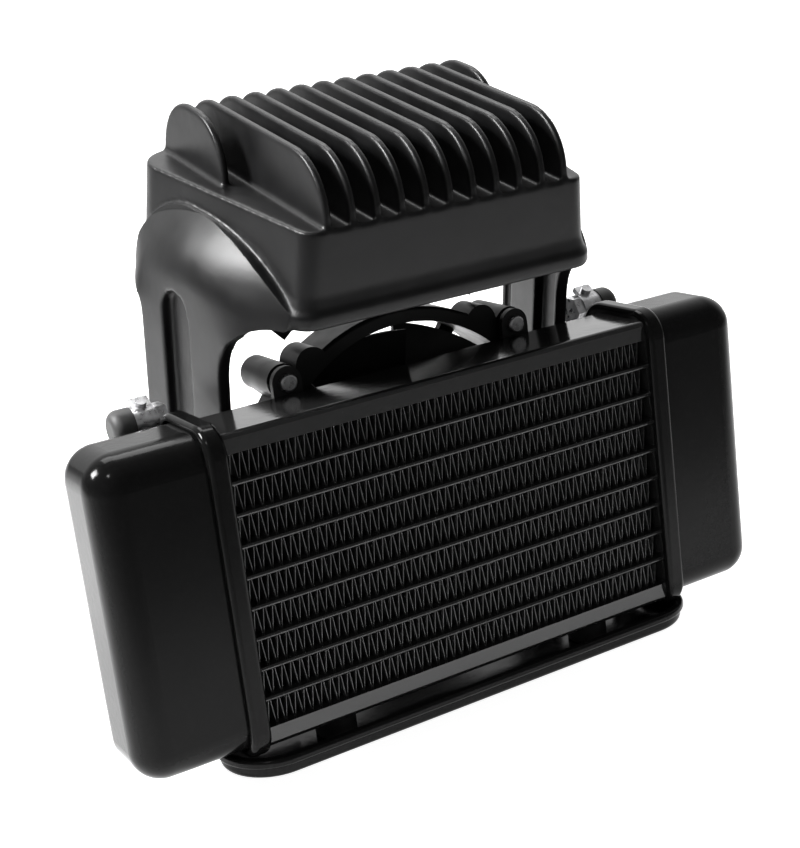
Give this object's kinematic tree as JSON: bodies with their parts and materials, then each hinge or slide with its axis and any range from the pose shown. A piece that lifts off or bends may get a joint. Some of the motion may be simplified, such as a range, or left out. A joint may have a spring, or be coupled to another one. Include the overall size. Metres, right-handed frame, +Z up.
{
  "type": "hydraulic oil cooler",
  "caption": "Fan-assisted hydraulic oil cooler: a leaning tube-and-fin core between end tanks, with a finned cast cover, a rear fan and a base tray.",
  "frame": {"origin": "bottom centre of the whole object's bounding box, on the ground the tray's rear edge and the cover's legs stand on", "axes": "+X along the core towards the right-hand end tank seen from the front, +Y to the rear, away from the core's face, +Z up"},
  "size_m": [0.37, 0.1908, 0.2925],
  "materials": {
    "core_paint": "aluminium with gloss black baked paint",
    "fin_paint": "thin satin black paint over aluminium",
    "flange_gloss": "aluminium with high gloss black paint",
    "tank_satin": "aluminium with gloss black baked paint",
    "cover_satin": "satin black powder coat on a fine-grained aluminium casting",
    "fan_plastic": "moulded, semi-gloss",
    "bracket_paint": "satin black paint on sheet steel",
    "tray_gloss": "gloss black paint on sheet steel",
    "motor_paint": "satin black paint on drawn steel",
    "zinc_steel": "bright zinc plate",
    "lamination_steel": "bare, ground",
    "ferrite": "dark ceramic",
    "bronze": "sintered bronze",
    "rubber": "moulded black rubber"
  },
  "bodies": {
    "cooler": {"bracket_bolts": "zinc_steel", "bracket_nuts": "zinc_steel", "bracket_rivets": "zinc_steel", "cooling_tube_1": "core_paint", "cooling_tube_2": "core_paint", "cooling_tube_3": "core_paint", "cooling_tube_4": "core_paint", "cooling_tube_5": "core_paint", "cooling_tube_6": "core_paint", "cooling_tube_7": "core_paint", "cooling_tube_8": "core_paint", "core_bottom_bar": "core_paint", "core_top_bar": "core_paint", "end_tank_left": "tank_satin", "end_tank_right": "tank_satin", "fan_screws_lower": "zinc_steel", "fan_screws_upper": "zinc_steel", "fan_shroud": "fan_plastic", "fan_strap_left": "bracket_paint", "fan_strap_right": "bracket_paint", "fan_washers": "zinc_steel", "fin_strip_1": "fin_paint", "fin_strip_2": "fin_paint", "fin_strip_3": "fin_paint", "fin_strip_4": "fin_paint", "fin_strip_5": "fin_paint", "fin_strip_6": "fin_paint", "fin_strip_7": "fin_paint", "fin_strip_8": "fin_paint", "fin_strip_9": "fin_paint", "finned_cover": "cover_satin", "header_plate_left": "core_paint", "header_plate_right": "core_paint", "inner_bracket": "bracket_paint", "inner_bracket_screws": "zinc_steel", "isolator_bolts": "zinc_steel", "isolator_left": "rubber", "isolator_right": "rubber", "motor_bearings": "bronze", "motor_can": "motor_paint", "motor_end_cap": "motor_paint", "motor_magnets": "ferrite", "mount_tray": "tray_gloss", "port_cap_left": "rubber", "port_cap_right": "rubber", "port_fitting_left": "zinc_steel", "port_fitting_right": "zinc_steel", "port_screws": "zinc_steel", "side_bracket_left": "bracket_paint", "side_bracket_right": "bracket_paint", "strap_rivets": "zinc_steel", "tank_flange_left": "flange_gloss", "tank_flange_right": "flange_gloss"},
    "fan_rotor": {"fan_impeller": "fan_plastic", "motor_shaft": "lamination_steel", "motor_armature": "lamination_steel"}
  },
  "joints": [
    {"name": "fan_spin", "type": "hinge", "parent": "cooler", "child": "fan_rotor", "pos_m": [0, -0.00501, 0.10176], "axis": [0, 0.9732, -0.23], "continuous": true}
  ]
}
